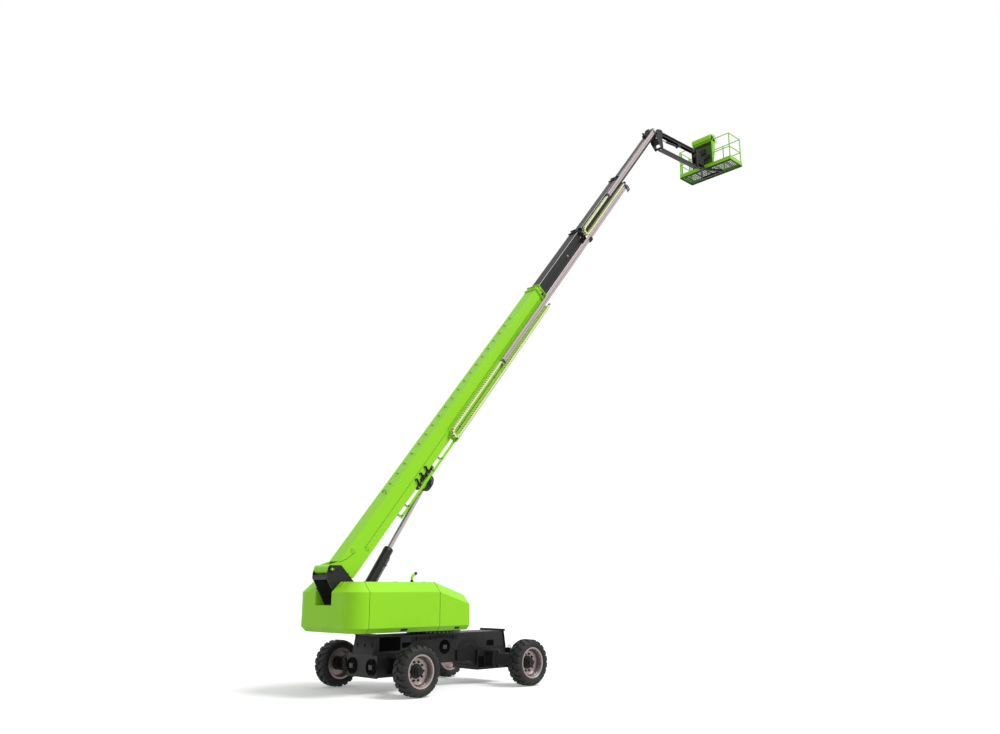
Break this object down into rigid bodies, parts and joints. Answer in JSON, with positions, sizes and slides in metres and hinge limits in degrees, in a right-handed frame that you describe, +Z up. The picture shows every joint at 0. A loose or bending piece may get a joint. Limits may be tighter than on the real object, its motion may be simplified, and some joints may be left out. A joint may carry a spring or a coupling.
{
  "type": "telescopic boom lift",
  "caption": "Self-propelled telescopic boom lift with swing-out axle arms, slewing turntable, telescoping boom sections, energy chains, folding jib and a railed work platform.",
  "frame": {"origin": "on the ground under the middle of the overall box", "axes": "+X the way the boom reaches, +Y to the machine's left, +Z up"},
  "size_m": [18.9868, 3.7202, 21.2698],
  "materials": {
    "black_paint": "satin black",
    "cast_ballast": "painted casting",
    "chain_plastic": "cream energy chain",
    "chrome_rod": "polished",
    "engine_grey": "machinery grey",
    "green_paint": "gloss machine green",
    "grey_paint": "satin dark grey",
    "rim_grey": "warm grey",
    "tank_steel": "black tank",
    "tube_steel": "bare steel tube",
    "tyre_rubber": "lugged rubber"
  },
  "bodies": {
    "chassis": {"chassis_frame": "black_paint"},
    "arm_front_left": {"axle_arm_front_left": "black_paint"},
    "steer_front_left": {"steering_knuckle_front_left": "black_paint"},
    "wheel_front_left": {"rim_front_left": "rim_grey", "tyre_front_left": "tyre_rubber"},
    "arm_front_right": {"axle_arm_front_right": "black_paint"},
    "steer_front_right": {"steering_knuckle_front_right": "black_paint"},
    "wheel_front_right": {"rim_front_right": "rim_grey", "tyre_front_right": "tyre_rubber"},
    "arm_rear_left": {"axle_arm_rear_left": "black_paint"},
    "steer_rear_left": {"steering_knuckle_rear_left": "black_paint"},
    "wheel_rear_left": {"rim_rear_left": "rim_grey", "tyre_rear_left": "tyre_rubber"},
    "arm_rear_right": {"axle_arm_rear_right": "black_paint"},
    "steer_rear_right": {"steering_knuckle_rear_right": "black_paint"},
    "wheel_rear_right": {"rim_rear_right": "rim_grey", "tyre_rear_right": "tyre_rubber"},
    "turntable": {"turntable_deck": "black_paint", "mast": "black_paint", "counterweight": "cast_ballast", "bay_panel_left": "green_paint", "bay_panel_right": "green_paint", "engine_block": "engine_grey", "hydraulic_tank": "tank_steel", "exhaust_pipe": "green_paint"},
    "side_cover_left": {"side_cover_left": "green_paint"},
    "front_cover_left": {"front_cover_left": "green_paint"},
    "side_cover_right": {"side_cover_right": "green_paint"},
    "front_cover_right": {"front_cover_right": "green_paint"},
    "boom_base": {"boom_base": "green_paint", "chain_tray": "green_paint"},
    "boom_fly_one": {"boom_fly_one": "black_paint"},
    "boom_fly_two": {"boom_fly_two": "grey_paint", "push_tube_one": "tube_steel"},
    "boom_fly_three": {"boom_fly_three": "grey_paint", "push_tube_two": "tube_steel"},
    "chain_one_outer": {"chain_one_outer": "chain_plastic"},
    "chain_one_inner": {"chain_one_inner": "chain_plastic"},
    "chain_two_outer": {"chain_two_outer": "chain_plastic"},
    "chain_two_inner": {"chain_two_inner": "chain_plastic"},
    "lift_barrel": {"lift_cylinder_barrel": "black_paint"},
    "lift_rod": {"lift_cylinder_rod": "chrome_rod"},
    "tip_bracket": {"tip_bracket": "black_paint"},
    "jib_beam": {"jib_beam": "black_paint"},
    "jib_link": {"jib_link": "black_paint"},
    "jib_barrel": {"jib_cylinder_barrel": "black_paint"},
    "jib_rod": {"jib_cylinder_rod": "chrome_rod"},
    "platform_bracket": {"platform_bracket": "black_paint"},
    "platform": {"platform_support": "black_paint", "platform_floor": "green_paint", "toe_boards": "green_paint", "platform_rails": "green_paint", "control_console": "green_paint"},
    "platform_gate": {"platform_gate": "green_paint"}
  },
  "joints": [
    {"name": "axle_swing_front_left", "type": "hinge", "parent": "chassis", "child": "arm_front_left", "pos_m": [-4.33845, 0.66, 0.455], "axis": [0, 0, 1], "range_deg": [-50, 0]},
    {"name": "steering_front_left", "type": "hinge", "parent": "arm_front_left", "child": "steer_front_left", "pos_m": [-4.08801, 1.27064, 0.5775], "axis": [0, 0, 1], "range_deg": [-20, 65]},
    {"name": "wheel_spin_front_left", "type": "hinge", "parent": "steer_front_left", "child": "wheel_front_left", "pos_m": [-4.08801, 1.63764, 0.5775], "axis": [0, 1, 0], "continuous": true},
    {"name": "axle_swing_front_right", "type": "hinge", "parent": "chassis", "child": "arm_front_right", "pos_m": [-4.33845, -0.66, 0.455], "axis": [0, 0, 1], "range_deg": [0, 50]},
    {"name": "steering_front_right", "type": "hinge", "parent": "arm_front_right", "child": "steer_front_right", "pos_m": [-4.08801, -1.27064, 0.5775], "axis": [0, 0, 1], "range_deg": [-65, 20]},
    {"name": "wheel_spin_front_right", "type": "hinge", "parent": "steer_front_right", "child": "wheel_front_right", "pos_m": [-4.08801, -1.63764, 0.5775], "axis": [0, -1, 0], "continuous": true},
    {"name": "axle_swing_rear_left", "type": "hinge", "parent": "chassis", "child": "arm_rear_left", "pos_m": [-7.53845, 0.66, 0.455], "axis": [0, 0, 1], "range_deg": [0, 50]},
    {"name": "steering_rear_left", "type": "hinge", "parent": "arm_rear_left", "child": "steer_rear_left", "pos_m": [-7.78889, 1.27064, 0.5775], "axis": [0, 0, 1], "range_deg": [-65, 20]},
    {"name": "wheel_spin_rear_left", "type": "hinge", "parent": "steer_rear_left", "child": "wheel_rear_left", "pos_m": [-7.78889, 1.63764, 0.5775], "axis": [0, 1, 0], "continuous": true},
    {"name": "axle_swing_rear_right", "type": "hinge", "parent": "chassis", "child": "arm_rear_right", "pos_m": [-7.53845, -0.66, 0.455], "axis": [0, 0, 1], "range_deg": [-50, 0]},
    {"name": "steering_rear_right", "type": "hinge", "parent": "arm_rear_right", "child": "steer_rear_right", "pos_m": [-7.78889, -1.27064, 0.5775], "axis": [0, 0, 1], "range_deg": [-20, 65]},
    {"name": "wheel_spin_rear_right", "type": "hinge", "parent": "steer_rear_right", "child": "wheel_rear_right", "pos_m": [-7.78889, -1.63764, 0.5775], "axis": [0, -1, 0], "continuous": true},
    {"name": "turntable_swing", "type": "hinge", "parent": "chassis", "child": "turntable", "pos_m": [-5.93845, 0, 1.405], "axis": [0, 0, 1], "continuous": true},
    {"name": "side_cover_lift_left", "type": "hinge", "parent": "turntable", "child": "side_cover_left", "pos_m": [-8.89845, 0.728, 2.6], "axis": [1, 0, 0], "range_deg": [0, 70]},
    {"name": "front_cover_lift_left", "type": "hinge", "parent": "turntable", "child": "front_cover_left", "pos_m": [-6.76845, 0.728, 2.6], "axis": [0.9506, 0, -0.3104], "range_deg": [0, 70]},
    {"name": "side_cover_lift_right", "type": "hinge", "parent": "turntable", "child": "side_cover_right", "pos_m": [-8.89845, -0.728, 2.6], "axis": [-1, 0, 0], "range_deg": [0, 70]},
    {"name": "front_cover_lift_right", "type": "hinge", "parent": "turntable", "child": "front_cover_right", "pos_m": [-6.76845, -0.728, 2.6], "axis": [-0.9506, 0, 0.3104], "range_deg": [0, 70]},
    {"name": "boom_luff", "type": "hinge", "parent": "turntable", "child": "boom_base", "pos_m": [-9.36845, 0, 2.89], "axis": [0, -1, 0], "range_deg": [-51.1, 21.9]},
    {"name": "boom_extend", "type": "slide", "parent": "boom_base", "child": "boom_fly_one", "axis": [0.628, 0, 0.7782], "range_m": [-3, 6]},
    {"name": "fly_two_extend", "type": "slide", "parent": "boom_fly_one", "child": "boom_fly_two", "axis": [0.628, 0, 0.7782], "range_m": [-3, 6]},
    {"name": "fly_three_extend", "type": "slide", "parent": "boom_fly_two", "child": "boom_fly_three", "axis": [0.628, 0, 0.7782], "range_m": [-3, 6]},
    {"name": "chain_one_outer_roll", "type": "slide", "parent": "boom_base", "child": "chain_one_outer", "axis": [0.628, 0, 0.7782], "range_m": [-3, 6], "deforming": ["chain_one_outer"]},
    {"name": "chain_one_inner_roll", "type": "slide", "parent": "boom_fly_two", "child": "chain_one_inner", "axis": [0.628, 0, 0.7782], "range_m": [-6, 3], "deforming": ["chain_one_inner"]},
    {"name": "chain_two_outer_roll", "type": "slide", "parent": "boom_fly_two", "child": "chain_two_outer", "axis": [0.628, 0, 0.7782], "range_m": [-1.5, 3], "deforming": ["chain_two_outer"]},
    {"name": "chain_two_inner_roll", "type": "slide", "parent": "boom_fly_three", "child": "chain_two_inner", "axis": [0.628, 0, 0.7782], "range_m": [-3, 1.5], "deforming": ["chain_two_inner"]},
    {"name": "lift_barrel_pivot", "type": "hinge", "parent": "turntable", "child": "lift_barrel", "pos_m": [-8.66845, 0, 1.6], "axis": [0, -1, 0], "range_deg": [-50, 22]},
    {"name": "lift_rod_slide", "type": "slide", "parent": "lift_barrel", "child": "lift_rod", "axis": [0.5481, 0, 0.8364], "range_m": [-1.45, 0.62]},
    {"name": "tip_level", "type": "hinge", "parent": "boom_fly_three", "child": "tip_bracket", "pos_m": [4.95571, 0, 19.9733], "axis": [0, -1, 0], "range_deg": [-22, 52.5]},
    {"name": "jib_luff", "type": "hinge", "parent": "tip_bracket", "child": "jib_beam", "pos_m": [5.29071, 0, 20.15329], "axis": [0, -1, 0], "range_deg": [-47.4, 57.6]},
    {"name": "jib_link_pivot", "type": "hinge", "parent": "tip_bracket", "child": "jib_link", "pos_m": [5.31071, 0, 19.4733], "axis": [0, -1, 0], "range_deg": [-48.5, 58.5]},
    {"name": "jib_barrel_pivot", "type": "hinge", "parent": "jib_beam", "child": "jib_barrel", "pos_m": [6.64581, 0, 20.05996], "axis": [0, -1, 0], "range_deg": [-3.5, 3.5]},
    {"name": "jib_rod_slide", "type": "slide", "parent": "jib_barrel", "child": "jib_rod", "axis": [-0.9927, 0, -0.1203], "range_m": [-0.19, 0.23]},
    {"name": "platform_level", "type": "hinge", "parent": "jib_beam", "child": "platform_bracket", "pos_m": [7.86845, 0, 20.26133], "axis": [0, -1, 0], "range_deg": [-58.5, 48.5]},
    {"name": "platform_turn", "type": "hinge", "parent": "platform_bracket", "child": "platform", "pos_m": [8.33345, 0, 19.74], "axis": [0, 0, 1], "range_deg": [-90, 90]},
    {"name": "gate_swing", "type": "hinge", "parent": "platform", "child": "platform_gate", "pos_m": [8.76145, 1.221, 20.02], "axis": [0, 0, 1], "range_deg": [-90, 0]}
  ],
  "couplings": [
    {"joint": "fly_two_extend", "follows": "boom_extend", "ratio": 1},
    {"joint": "fly_three_extend", "follows": "boom_extend", "ratio": 1},
    {"joint": "chain_one_outer_roll", "follows": "boom_extend", "ratio": 1},
    {"joint": "chain_one_inner_roll", "follows": "boom_extend", "ratio": -1},
    {"joint": "chain_two_outer_roll", "follows": "boom_extend", "ratio": 0.5},
    {"joint": "chain_two_inner_roll", "follows": "boom_extend", "ratio": -0.5},
    {"joint": "lift_barrel_pivot", "follows": "boom_luff", "ratio": 0.9},
    {"joint": "lift_rod_slide", "follows": "boom_luff", "m_per_rad": 1.534},
    {"joint": "tip_level", "follows": "boom_luff", "ratio": -1},
    {"joint": "jib_link_pivot", "follows": "jib_luff", "ratio": 1},
    {"joint": "jib_barrel_pivot", "follows": "jib_luff", "ratio": -0.0463},
    {"joint": "jib_rod_slide", "follows": "jib_luff", "m_per_rad": 0.2248},
    {"joint": "platform_level", "follows": "jib_luff", "ratio": -1}
  ]
}
